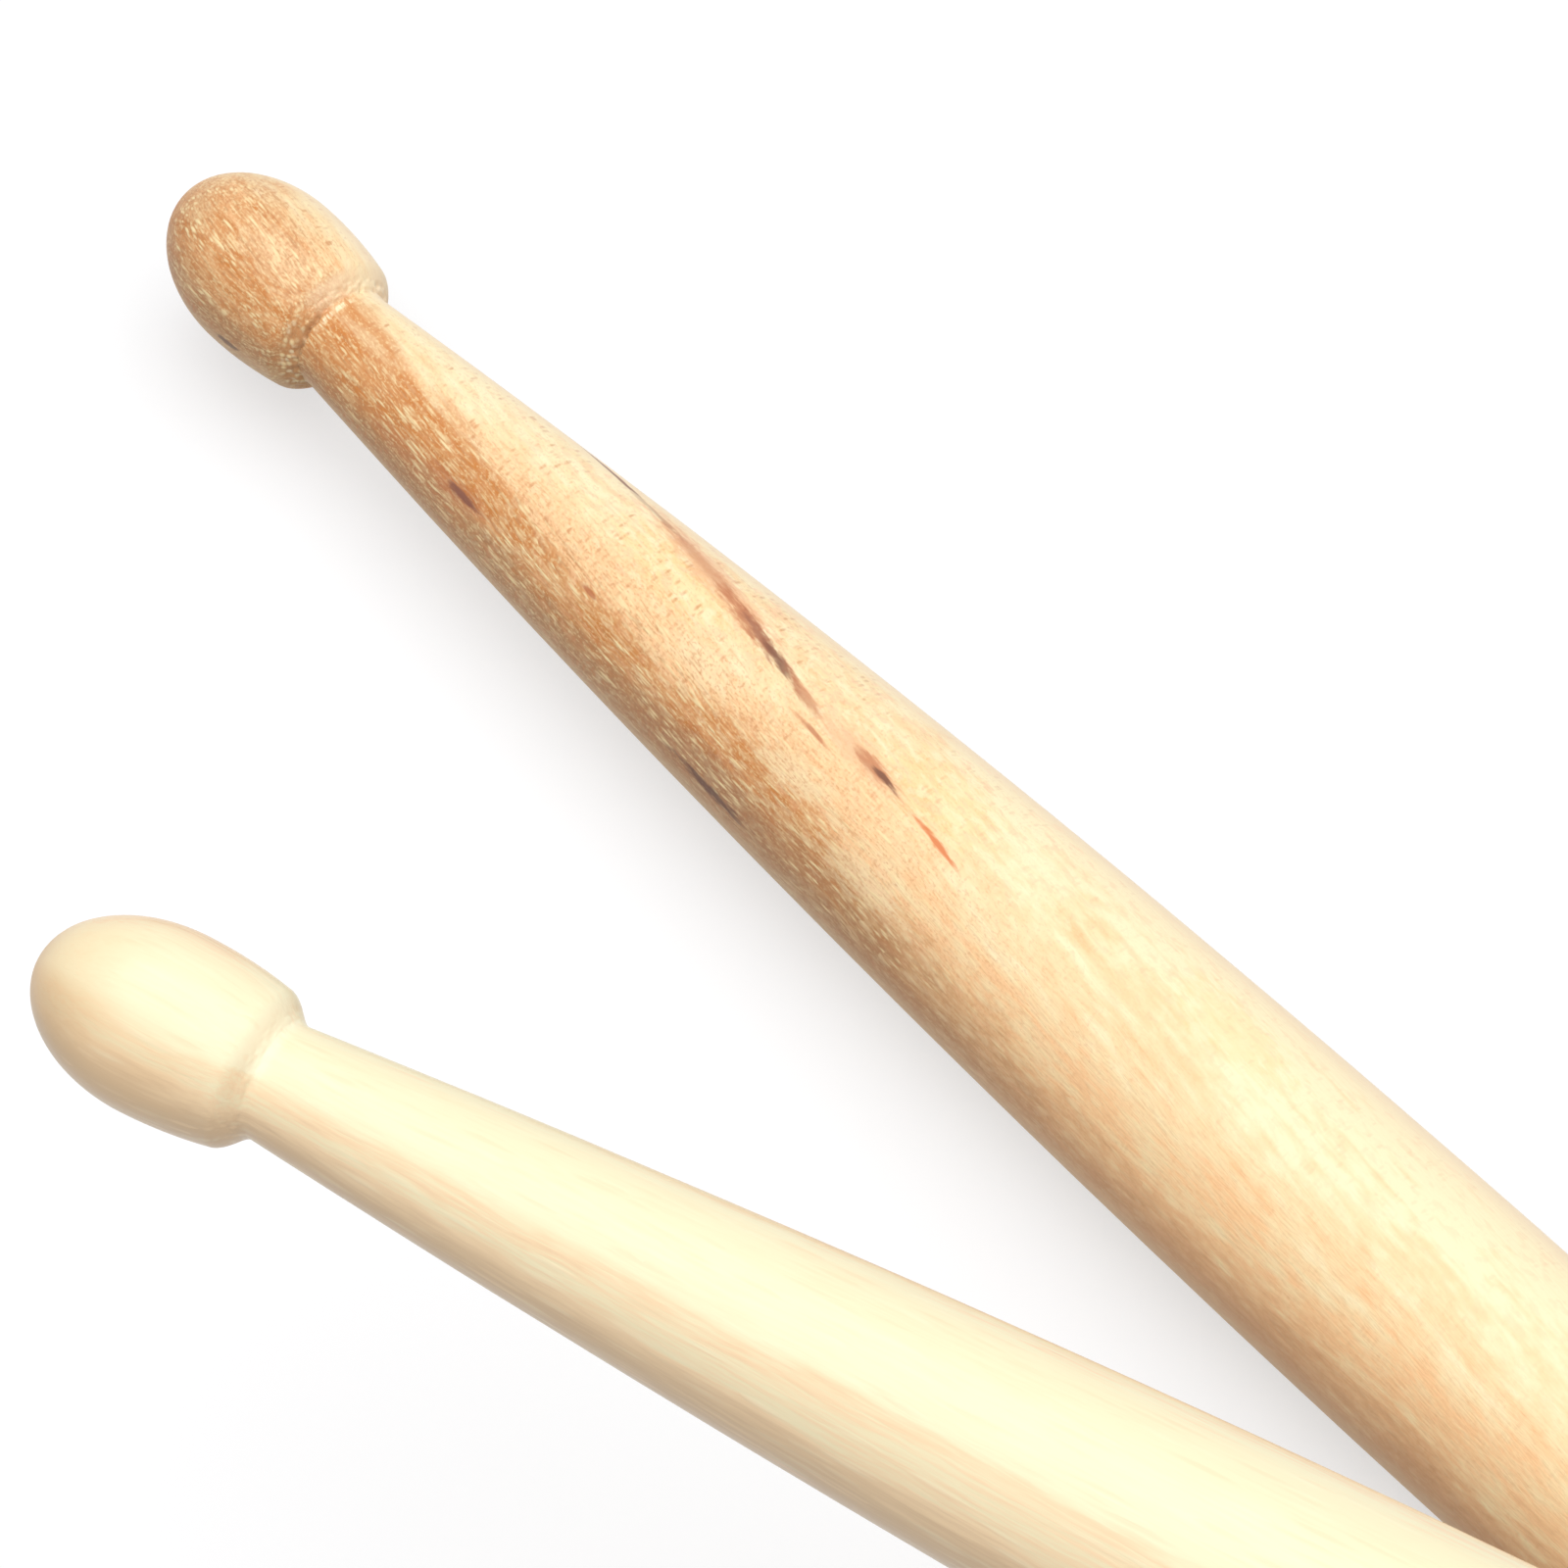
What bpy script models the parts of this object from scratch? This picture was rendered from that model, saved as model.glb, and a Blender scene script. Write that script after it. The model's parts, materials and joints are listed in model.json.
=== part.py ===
"""A pair of turned wooden drumsticks, one lying across the other on a floor.

Run with blender --background --python part.py, or from Blender's text editor. Metres, +Z up.
Each stick is a single piece of wood, turned about its own axis: an oval tip, a soft step down to
a slim neck behind it, a long shoulder that swells to the shaft, and a rounded butt.
"""

import math

import bpy

# Sizes of one stick, from its tip to its butt
STICK_LENGTH = 0.406
TIP_LENGTH = 0.0140
TIP_DIAMETER = 0.0097
TIP_WIDEST_AT = 0.0072
TIP_RIM_DROP = 0.0005
TIP_STEP_LENGTH = 0.0018
NECK_DIAMETER = 0.0062
SHOULDER_LENGTH = 0.0923
SHAFT_DIAMETER = 0.0144
BUTT_ROUND = 0.0042

# How the pair lies: each crossing is measured along its stick, from the end of the tip
UNDER_CROSSING = 0.198
OVER_CROSSING = 0.153
CROSSING_ANGLE = math.radians(19.2)
CLEARANCE = 0.0003

# Finish of the wood: the under stick is the tan one, the over stick the pale one
TAN_WOOD = (0.66, 0.42, 0.22, 1.0)
PALE_WOOD = (0.87, 0.69, 0.42, 1.0)
WOOD_ROUGHNESS = 0.45

# Fineness of the turned surface
SIDES = 48
TIP_STEPS = 10
STEP_STEPS = 7
SHOULDER_STEPS = 18
BUTT_STEPS = 6
MERGE_DISTANCE = 0.00001
TILT_PASSES = 30

TIP_RADIUS = TIP_DIAMETER / 2
RIM_RADIUS = TIP_RADIUS - TIP_RIM_DROP
NECK_RADIUS = NECK_DIAMETER / 2
SHAFT_RADIUS = SHAFT_DIAMETER / 2


def shares(steps):
    """Even shares from 0 to 1."""
    return [step / steps for step in range(steps + 1)]


def s_curve(share, start, start_climb, end, end_climb):
    """A value that goes smoothly from start to end, with the given climb at each of them."""
    left = 1 - share
    leaving = left ** 2 * (start * (1 + 2 * share) + start_climb * share)
    arriving = share ** 2 * (end * (1 + 2 * left) - end_climb * left)
    return leaving + arriving


def tip_back():
    """The ellipse behind the tip's widest part: its half length, and how far it turns to the rim."""
    rim_turn = math.acos(RIM_RADIUS / TIP_RADIUS)
    half_length = (TIP_LENGTH - TIP_STEP_LENGTH - TIP_WIDEST_AT) / math.sin(rim_turn)
    return half_length, rim_turn


def shoulder_arc():
    """Radius of the large arc of the shoulder, which is flush with the shaft."""
    swell = SHAFT_RADIUS - NECK_RADIUS
    return (SHOULDER_LENGTH ** 2 + swell ** 2) / (2 * swell)


def tip_outline():
    """Radius and distance from the end of the tip: an oval of two ellipse arcs that stops at a rim."""
    half_length, rim_turn = tip_back()
    outline = []
    for share in shares(TIP_STEPS):
        turn = share * math.pi / 2
        outline.append((TIP_RADIUS * math.sin(turn), TIP_WIDEST_AT * (1 - math.cos(turn))))
    for share in shares(TIP_STEPS)[1:]:
        turn = share * rim_turn
        outline.append((TIP_RADIUS * math.cos(turn), TIP_WIDEST_AT + half_length * math.sin(turn)))
    return outline


def step_outline():
    """Radius and distance down the soft step from the rim, flush with the tip and with the neck."""
    half_length, rim_turn = tip_back()
    rim_climb = -TIP_STEP_LENGTH * TIP_RADIUS / half_length * math.tan(rim_turn)
    neck_climb = TIP_STEP_LENGTH * SHOULDER_LENGTH / math.sqrt(shoulder_arc() ** 2 - SHOULDER_LENGTH ** 2)
    outline = []
    for share in shares(STEP_STEPS)[1:-1]:
        radius = s_curve(share, RIM_RADIUS, rim_climb, NECK_RADIUS, neck_climb)
        outline.append((radius, TIP_LENGTH - TIP_STEP_LENGTH * (1 - share)))
    return outline


def shoulder_outline():
    """Radius and distance along the shoulder, from the neck to the shaft."""
    arc_radius = shoulder_arc()
    outline = []
    for share in shares(SHOULDER_STEPS):
        left = SHOULDER_LENGTH * (1 - share)
        sagitta = arc_radius - math.sqrt(arc_radius ** 2 - left ** 2)
        outline.append((SHAFT_RADIUS - sagitta, TIP_LENGTH + SHOULDER_LENGTH - left))
    return outline


def butt_outline():
    """Radius and distance round the edge of the butt, then in to the centre of its flat end."""
    outline = []
    for share in shares(BUTT_STEPS):
        turn = share * math.pi / 2
        radius = SHAFT_RADIUS - BUTT_ROUND * (1 - math.cos(turn))
        outline.append((radius, STICK_LENGTH - BUTT_ROUND * (1 - math.sin(turn))))
    outline.append((0.0, STICK_LENGTH))
    return outline


def wood_material(name, colour):
    """Plain satin wood."""
    material = bpy.data.materials.new(name)
    material.use_nodes = True
    shader = material.node_tree.nodes["Principled BSDF"]
    shader.inputs["Base Color"].default_value = colour
    shader.inputs["Roughness"].default_value = WOOD_ROUGHNESS
    shader.inputs["Metallic"].default_value = 0.0
    material.diffuse_color = colour
    return material


def turned_stick(name, crossing, material):
    """One stick upright on its own Z axis, tip up, with its origin where the pair crosses."""
    outline = tip_outline() + step_outline() + shoulder_outline() + butt_outline()
    points = [(radius, 0.0, crossing - distance) for radius, distance in outline]
    edges = [(index, index + 1) for index in range(len(points) - 1)]
    mesh = bpy.data.meshes.new(name)
    mesh.from_pydata(points, edges, [])
    mesh.materials.append(material)
    stick = bpy.data.objects.new(name, mesh)
    bpy.context.scene.collection.objects.link(stick)
    turning = stick.modifiers.new("turning", "SCREW")
    turning.axis = "Z"
    turning.angle = 2 * math.pi
    turning.screw_offset = 0.0
    turning.steps = SIDES
    turning.render_steps = SIDES
    turning.use_merge_vertices = True
    turning.merge_threshold = MERGE_DISTANCE
    turning.use_smooth_shade = True
    return stick


def axis_rise(tilt):
    """Height of the over stick's axis above the under stick's, where they cross."""
    slant = math.tan(tilt) / math.sin(CROSSING_ANGLE)
    return (SHAFT_DIAMETER + CLEARANCE) * math.hypot(1, slant)


def over_tilt():
    """Lean of the over stick, with its butt on the floor and its shaft just clear of the other."""
    reach = STICK_LENGTH - OVER_CROSSING - BUTT_ROUND
    edge_radius = SHAFT_RADIUS - BUTT_ROUND
    tilt = 0.0
    for _ in range(TILT_PASSES):
        climb = SHAFT_RADIUS + axis_rise(tilt) - BUTT_ROUND - edge_radius * math.cos(tilt)
        tilt = math.asin(climb / reach)
    return tilt


def lay_down(stick, parent, height, tilt, turn):
    """Point the tip towards -X, raised by the tilt and turned about the vertical."""
    stick.parent = parent
    stick.location = (0.0, 0.0, height)
    stick.rotation_euler = (0.0, tilt - math.pi / 2, turn)


def centre_on_origin(parent, sticks):
    """Move the crossing so that the middle of the pair's footprint is at the origin."""
    bpy.context.view_layer.update()
    depsgraph = bpy.context.evaluated_depsgraph_get()
    places = []
    for stick in sticks:
        vertices = stick.evaluated_get(depsgraph).data.vertices
        places += [stick.matrix_world @ vertex.co for vertex in vertices]
    for axis in (0, 1):
        values = [place[axis] for place in places]
        parent.location[axis] -= (min(values) + max(values)) / 2


def main():
    for old in list(bpy.data.objects):
        bpy.data.objects.remove(old, do_unlink=True)

    crossing = bpy.data.objects.new("crossing", None)
    bpy.context.scene.collection.objects.link(crossing)

    under = turned_stick("under_stick", UNDER_CROSSING, wood_material("tan_wood", TAN_WOOD))
    over = turned_stick("over_stick", OVER_CROSSING, wood_material("pale_wood", PALE_WOOD))

    tilt = over_tilt()
    lay_down(under, crossing, SHAFT_RADIUS, 0.0, -CROSSING_ANGLE / 2)
    lay_down(over, crossing, SHAFT_RADIUS + axis_rise(tilt), tilt, CROSSING_ANGLE / 2)
    centre_on_origin(crossing, [under, over])


main()
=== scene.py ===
"""Two turned wooden drumsticks that lie crossed on a pale studio floor.

Laid out as an add-on and run as a script. Metres, +Z up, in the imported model's own frame. The wood's
pattern is written in millimetres, in each stick's own frame: distance from the end of the tip, and
the angle round the stick from its top.
"""

import json
import math
from typing import NamedTuple

import bpy
from mathutils import Matrix, Vector


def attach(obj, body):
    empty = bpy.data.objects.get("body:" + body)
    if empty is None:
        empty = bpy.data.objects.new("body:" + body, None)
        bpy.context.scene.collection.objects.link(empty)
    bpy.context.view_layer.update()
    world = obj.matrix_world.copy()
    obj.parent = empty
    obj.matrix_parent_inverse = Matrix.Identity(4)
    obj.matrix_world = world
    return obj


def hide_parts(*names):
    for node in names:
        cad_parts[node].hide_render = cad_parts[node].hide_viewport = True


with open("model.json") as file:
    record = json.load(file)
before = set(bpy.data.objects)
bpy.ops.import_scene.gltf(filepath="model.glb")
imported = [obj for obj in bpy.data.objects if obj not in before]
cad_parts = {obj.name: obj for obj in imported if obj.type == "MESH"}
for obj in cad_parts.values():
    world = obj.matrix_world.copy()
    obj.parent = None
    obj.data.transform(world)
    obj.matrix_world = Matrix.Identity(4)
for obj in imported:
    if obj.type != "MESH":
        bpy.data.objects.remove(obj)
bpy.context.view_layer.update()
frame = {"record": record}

bl_info = {
    "name": "Crossed Drumsticks",
    "version": (1, 0, 0),
    "blender": (4, 5, 0),
    "location": "3D View > Sidebar > Drumsticks",
    "description": "Turns a tan and a pale drumstick and lays them crossed on a studio floor",
    "category": "Add Mesh",
}

UP = Vector((0.0, 0.0, 1.0))
PER_METRE = 1000.0

# Fineness of the turned surface: rings in each stretch of the outline, and points round a ring
NOSE_RINGS = 40
BACK_RINGS = 24
STEP_RINGS = 36
SHOULDER_RINGS = 230
SHAFT_RINGS = 165
BUTT_RINGS = 16
SIDES = 170
MERGE_DISTANCE = 0.000002

RADIUS_ATTRIBUTE = "turned_radius"
NOISE_ROUGHNESS = 0.55
NOISE_MIDDLE = 0.5


class Fade(NamedTuple):
    """A soft step: where it starts and is full, and how much there is."""

    start: float
    full: float
    amount: float = 1.0


class Side(NamedTuple):
    """A side of a stick: degrees from its top, the cosines where it starts and is full, and how much."""

    degrees: float
    start: float
    full: float
    amount: float = 1.0


class Pattern(NamedTuple):
    """Noise in the wood: how far its blots reach across and along the grain, in millimetres."""

    across: float
    along: float
    detail: float
    seed: float
    weight: float = 1.0
    fade: Fade = None


class Strokes(NamedTuple):
    """Short strokes, one to a cell of a grid: the cell's millimetres, and the stroke's share of it."""

    across: float
    along: float
    size: float
    scatter: float
    colour: str
    strength: float
    height: float
    seed: float


class Mark(NamedTuple):
    """A mark in the tan stick: its place and size, in millimetres and degrees, and how far it leans."""

    distance: float
    angle: float
    length: float
    width: float
    lean: float
    colour: tuple
    strength: float


class Ring(NamedTuple):
    """A mark at the foot of the step: millimetres before it, how ragged and wide it is, and its side."""

    before: float
    ragged: float
    width: Fade
    side: Side


class Lacquer(NamedTuple):
    """A satin finish: its roughness and its coat, and how the fibres and the cut ends change them."""

    roughness: float
    on_fibres: float
    on_cut_ends: float
    coat: float
    lost_on_cut_ends: float
    coat_roughness: float


# Unevenness of the surface. The pale stick has only a share of the line cut in the tan one.
SANDING = Pattern(5.0, 22.0, 1.0, 0.0)
RAISED_FIBRES = Pattern(0.7, 9.0, 2.0, 0.0)
TORN_GRAIN = Pattern(0.40, 0.34, 1.0, 0.0, fade=Fade(0.46, 0.62))
LINE_HALF_WIDTH = 0.16
TORN_HALF_WIDTH = 0.48
LINE_SHARE = 0.7
SEED_STRIDES = (40.0, 70.0, 90.0)
TAN_SEED = 1.0
TAN_TORN = 1.0
PALE_SEED = 2.0
PALE_TORN = 0.15

# What both woods share: how solid and how frequent strokes are, the cut ends, the side that is turned
# away, and the shine and bump under the lacquer
STROKE_CORE = 0.25
STROKE_CHANCE = Fade(0.40, 0.90)
CUT_ENDS = Fade(0.55, 1.0)
BACK = Side(150.0, 0.1, 0.7)
WOOD_SHINE = 0.25
BUMP_STRENGTH = 0.5
BUMP_DEPTH = 0.00006

# The tan stick's ground. A fade is in millimetres from the end of the tip, or in shares of the way
# round to the low side, where the heart wood is.
TAN_LEAN = 0.14
TAN_WAVES = Pattern(3.0, 12.0, 1.0, 71.0, 0.8)
TAN_GROUND = (
    Pattern(2.0, 7.0, 3.0, 1.0, 0.95),
    Pattern(0.7, 30.0, 2.0, 3.0, 0.85),
    Pattern(0.6, 1.6, 2.0, 7.0, 0.70),
)
TAN_STOPS = (0.0, 0.30, 0.62)
TAN_TIP = Fade(11.0, 15.0)
HEART_SIDE = -100.0
HEART_REACH = 130.0
WARMTH = 0.06
TIP_WARMTH = 0.20
WARM_FROM = Fade(28.0, 44.0, 0.10)
WARM_TO = Fade(54.0, 74.0)
COOL_SHAFT = Fade(55.0, 90.0, 0.22)
# The tan on the low side is partly the wood and partly painted shade on that side.
LOW_SIDE_AND_SHADE = Fade(0.62, 0.90)
LOW_SIDE_UNEVEN = 0.25
LOW_SIDE_THINS = Fade(55.0, 80.0, 0.05)

# Its heart wood, whose edge comes in towards the low side along the stick, apart from one bulge
# The brown low on the heart's side is partly the wood and partly painted shade.
BROWN_HEART_AND_SHADE = Fade(0.58, 0.88)
BROWN_UNEVEN = 0.35
HEART_EDGE = Pattern(0.7, 6.0, 3.0, 67.0, 3.2)
EDGE_START = 13.5
EDGE_RUN = 55.0
EDGE_END = -9.8
EDGE_AT_TIP = -0.7
EDGE_AT_BULGE = 1.2
EDGE_SOFTNESS = 1.0
TIP_SOFTNESS = 1.1
BULGE_FROM = Fade(46.0, 54.0)
BULGE_TO = Fade(58.0, 67.0)
TAN_STAINS = Pattern(1.5, 5.0, 3.0, 43.0, fade=Fade(0.34, 0.58))
STAINS_EVEN = 0.76
STAINS_BREAK_UP = Fade(20.0, 38.0, 0.26)
STAINS_AT_BULGE = 0.22
STAINS_LOW_SIDE = 0.40
HEART_ENDS = Fade(60.0, 92.0, 0.9)
# The heart pales on the top of the nose and stays on its low side: partly painted shade there.
NOSE = Fade(1.0, 7.0)
NOSE_TOP = Fade(0.35, 0.60)
NOSE_PALER = 0.45
TIP_PALER = 0.18
TIP_STREAKS = Pattern(0.55, 4.0, 2.0, 107.0, 1.6)

# Its fibres, mottles, specks and ray flecks. The noise of the first three is about 0.
DETAIL_THINS = Fade(50.0, 95.0, 0.60)
SHORT_GRAINED = Fade(0.22, 0.50)
TIP_SHORT_GRAINED = 0.30
SHORT_FIBRES = Pattern(0.14, 1.5, 2.0, 5.0)
LONG_FIBRES = Pattern(0.20, 13.0, 2.0, 13.0)
LIGHT_FIBRES = Fade(0.03, 0.20, 0.36)
DARK_FIBRES = Fade(-0.02, -0.18)
DARK_FIBRES_LEAST = 0.06
DARK_FIBRES_MORE = 0.55
DARK_FIBRES_THIN = Fade(42.0, 62.0, 0.8)
MOTTLES = Pattern(0.52, 1.20, 2.0, 97.0)
MOTTLES_FROM = Fade(12.0, 40.0)
MOTTLES_LESS = 0.6
ROSE_MOTTLES = Fade(0.02, 0.16, 0.55)
CREAM_MOTTLES = Fade(-0.03, -0.17, 0.60)
FINE_GRAIN = Pattern(0.12, 0.26, 1.0, 103.0)
LIGHT_SPECKS = Fade(0.03, 0.20, 0.44)
DARK_SPECKS = Fade(-0.03, -0.20)
DARK_SPECKS_LEAST = 0.20
DARK_SPECKS_MORE = 0.30
TICK_COLUMNS = Pattern(0.50, 4.0, 2.0, 17.0, fade=Fade(0.38, 0.54))
TICK_PATCHES = Pattern(2.0, 5.0, 2.0, 79.0, fade=Fade(0.32, 0.54))
TIP_TICKS = 0.1
TICKS_THIN = Fade(45.0, 75.0, 0.8)
RAY_TICKS = Strokes(0.64, 0.29, 0.62, 1.0, "russet", 0.64, -0.4, 19.0)

# Its far side and its low side, with a painted glow on the far limb, painted shade on the low face and the
# nose, and painted light on the lowest limb
TAN_FAR_PEACH_AND_GLOW = Side(75.0, 0.70, 0.95, 0.9)
TAN_BACK = Pattern(1.1, 48.0, 3.0, 113.0, fade=Fade(0.46, 0.64, 0.5))
# Painted shade in brown on the low face of the shaft and on the low side of the nose.
LOW_FACE_SHADE = Side(-86.0, 0.88, 0.98, 0.42)
LOW_FACE_SHADE_FROM = Fade(36.0, 50.0)
LOW_FACE_SHADE_TO = Fade(62.0, 82.0)
NOSE_SHADE = Side(-50.0, 0.60, 0.95, 0.30)
NOSE_SHADE_TO = Fade(2.0, 6.0)
# Painted light in straw along the lowest limb, which faces the floor.
LOW_LIMB_LIGHT = Side(-118.0, 0.89, 0.98, 0.32)

# Its pale strokes along the grain
CLUMPS = Pattern(0.9, 4.0, 2.0, 83.0, fade=Fade(0.34, 0.62, 0.8))
CLUMPS_LEAST = 0.2
LIT_LINES = Strokes(0.30, 7.00, 0.48, 1.0, "cream", 0.70, 0.0, 89.0)
FLAKES_FROM = Fade(46.0, 64.0, 0.9)
FLAKES_THIN = Fade(70.0, 100.0, 0.5)
FLAKES_LOW_SIDE = Fade(0.74, 0.92, 0.6)
FLAKES = Strokes(0.48, 1.45, 0.64, 1.0, "straw", 0.75, 0.4, 101.0)
DASHES_THIN = Fade(60.0, 90.0, 0.6)
DASHES_LOW_SIDE = Fade(0.80, 0.95, 0.6)
TAN_DASHES = (
    Strokes(0.20, 1.70, 0.60, 1.0, "dash", 1.00, 0.5, 11.0),
    Strokes(0.17, 0.90, 0.60, 1.0, "dash", 0.90, 0.4, 53.0),
)

# The foot of its step, with painted sheen, glints, shade and a highlight there, and its finish
RAGGED_EDGES = Pattern(0.22, 1.2, 3.0, 23.0)
RAGGED_PATCHES = 2.2
RAGGED_MARKS = 1.5
# Painted sheen in peach on the rim just before the step.
STEP_SHEEN = Ring(0.45, 0.0, Fade(0.2, 0.7), Side(5.0, 0.76, 0.97, 0.45))
# Torn grain on the low side of the step's foot, darkened with painted shade.
TORN_SHADED_FOOT = Ring(0.30, 0.5, Fade(0.28, 0.55), Side(-88.0, 0.55, 0.85))
TORN_SHADE = 0.75
# Painted shade in the fine line at the foot of the step.
GROOVE_SHADE_LINE = Ring(0.0, 0.2, Fade(0.08, 0.26), Side(-52.0, 0.80, 0.95, 0.7))
# A pale broken line at the start of the neck on its lit side: partly pale cut fibres, partly a painted
# highlight on that edge.
CUT_AND_HIGHLIGHT_LINE = Ring(0.0, 0.3, Fade(0.08, 0.24), Side(-14.0, 0.84, 0.97, 0.9))
CUT_AND_HIGHLIGHT_BREAKS = Fade(-0.06, 0.10)
# Pale beads on the torn grain: painted glints of its fibres.
BEAD_GLINTS = (
    Strokes(0.36, 0.42, 0.72, 0.6, "cream", 0.95, 1.0, 73.0),
    Strokes(0.34, 0.40, 0.72, 0.6, "dash", 0.95, 1.0, 109.0),
)
TAN_CUT_ENDS = 0.25
TAN_LACQUER = Lacquer(0.54, 0.14, 0.15, 0.18, 0.1, 0.30)

# The pale stick's figure and finish, with painted sheen, shade and light
PALE_LEAN = 0.012
PALE_WAVES = Pattern(1.6, 9.0, 3.0, 59.0, 0.5)
PALE_GROUND = (
    Pattern(3.4, 130.0, 2.0, 29.0, 0.40),
    Pattern(0.9, 50.0, 2.0, 31.0, 0.55),
)
PALE_STOPS = (0.05, 0.35, 0.58, 0.90)
PALE_TONE = 0.10
PALE_FIBRES = Pattern(0.20, 8.0, 3.0, 37.0, 0.80)
PALE_FIBRE_HEIGHT = 0.5
PALE_TIP = Fade(8.0, 14.0)
PALE_NOSE = Fade(1.5, 7.5)
BAND_WAVES = 0.45
BAND_FIBRES = 0.22
# The late wood band: its crisp edge and the cream above it are partly a painted sheen, the lacquer's
# reflection of the softbox.
LATE_WOOD_BELOW_SHEEN = Side(-105.0, 0.32, 0.42)
LATE_WOOD_BELOW_SHEEN_TONE = 0.38
TIP_SPREAD = Fade(0.12, 0.14)
# Painted shade: tan low on one side of the pale stick.
PALE_LOW_SHADE = Side(-110.0, 0.60, 1.0)
LOW_SHADE_TONE = 0.42
LOW_SHADE_TIP_TONE = 0.35
# Painted shade along the far limb of the pale stick and of its tip.
PALE_FAR_LIMB_SHADE = Side(82.0, 0.60, 0.95, 0.62)
PALE_FAR_SHADE_FROM = Fade(15.0, 45.0)
PALE_TIP_FAR_LIMB_SHADE = Side(75.0, 0.40, 0.95, 0.62)
PALE_BACK = Pattern(1.2, 70.0, 3.0, 117.0, 1.1)
PALE_BACK_MIDDLE = 0.42
TIP_HONEY = 0.26
NOSE_HONEY = 0.36
NOSE_LATE_HONEY = 0.20
# Painted shade along the lower edges of the shaft and the nose.
PALE_LOW_EDGE_SHADE = Side(-112.0, 0.70, 1.0, 0.42)
PALE_NOSE_EDGE_SHADE = Side(-80.0, 0.60, 1.0, 0.45)
# Painted light: the step is lightened on its upper side with the pale dash colour, against its shade.
PALE_STEP_LIGHT_BEFORE = 0.8
PALE_STEP_LIGHT_WIDTH = Fade(0.3, 1.0)
PALE_STEP_LIGHT_SHARE = 0.9
PALE_DASHES = (
    Strokes(0.40, 4.0, 0.60, 1.0, "dash", 0.25, 0.3, 41.0),
    Strokes(0.36, 5.0, 0.60, 1.0, "peach", 0.45, -0.2, 61.0),
)
PALE_CUT_ENDS = 0.95
PALE_LACQUER = Lacquer(0.46, 0.12, 0.15, 0.5, 0.3, 0.24)

# The stage
FLOOR_REACH = 40.0
FLOOR_DROP = 0.0001
FLOOR_ROUGHNESS = 0.9
FLOOR_SHINE = 0.1
SOFTBOX_TOWARDS = Vector((0.15, -0.09, 1.0))
SENSOR_WIDTH = 36.0
BLACK = (0.0, 0.0, 0.0)
WHITE = (1.0, 1.0, 1.0)

# Colours and edges of the tan stick's marks
PURPLE_BROWN = (0.24, 0.09, 0.06)
DARK_BROWN = (0.10, 0.035, 0.025)
RED_BROWN = (0.50, 0.17, 0.07)
ROSE = (0.80, 0.40, 0.22)
ORANGE_RED = (0.72, 0.20, 0.06)
AMBER = (0.62, 0.24, 0.055)
GOLD = (0.96, 0.66, 0.28)
STRAW = (0.98, 0.80, 0.50)
MARK_EDGE = Fade(0.45, 1.15)

# Soft patches of its ground: pale, golden, and deep along the low side
PATCHES = (
    Mark(10.0, -16.0, 8.0, 3.6, 0.0, STRAW, 0.30),
    Mark(16.6, -12.0, 7.0, 0.9, 0.0, STRAW, 0.32),
    Mark(48.0, -27.0, 6.0, 2.2, -0.10, STRAW, 0.50),
    Mark(56.5, -39.0, 6.0, 2.0, 0.0, STRAW, 0.50),
    Mark(64.0, -56.0, 7.0, 2.6, 0.0, STRAW, 0.50),
    Mark(42.5, 4.0, 11.0, 3.6, -0.10, GOLD, 0.45),
    Mark(64.0, 2.0, 9.0, 5.0, -0.10, GOLD, 0.40),
    Mark(86.0, 10.0, 10.0, 3.6, -0.10, GOLD, 0.35),
    Mark(25.0, -65.0, 10.0, 2.4, 0.0, RED_BROWN, 0.40),
    Mark(30.5, -42.0, 6.0, 1.6, -0.10, AMBER, 0.35),
    Mark(36.0, -45.0, 6.0, 1.6, -0.10, AMBER, 0.40),
    Mark(42.0, -51.0, 7.0, 1.8, -0.05, AMBER, 0.55),
    Mark(52.5, -74.0, 18.0, 3.6, 0.0, RED_BROWN, 0.36),
    Mark(52.0, -76.0, 11.0, 3.4, 0.0, PURPLE_BROWN, 0.20),
)

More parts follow.
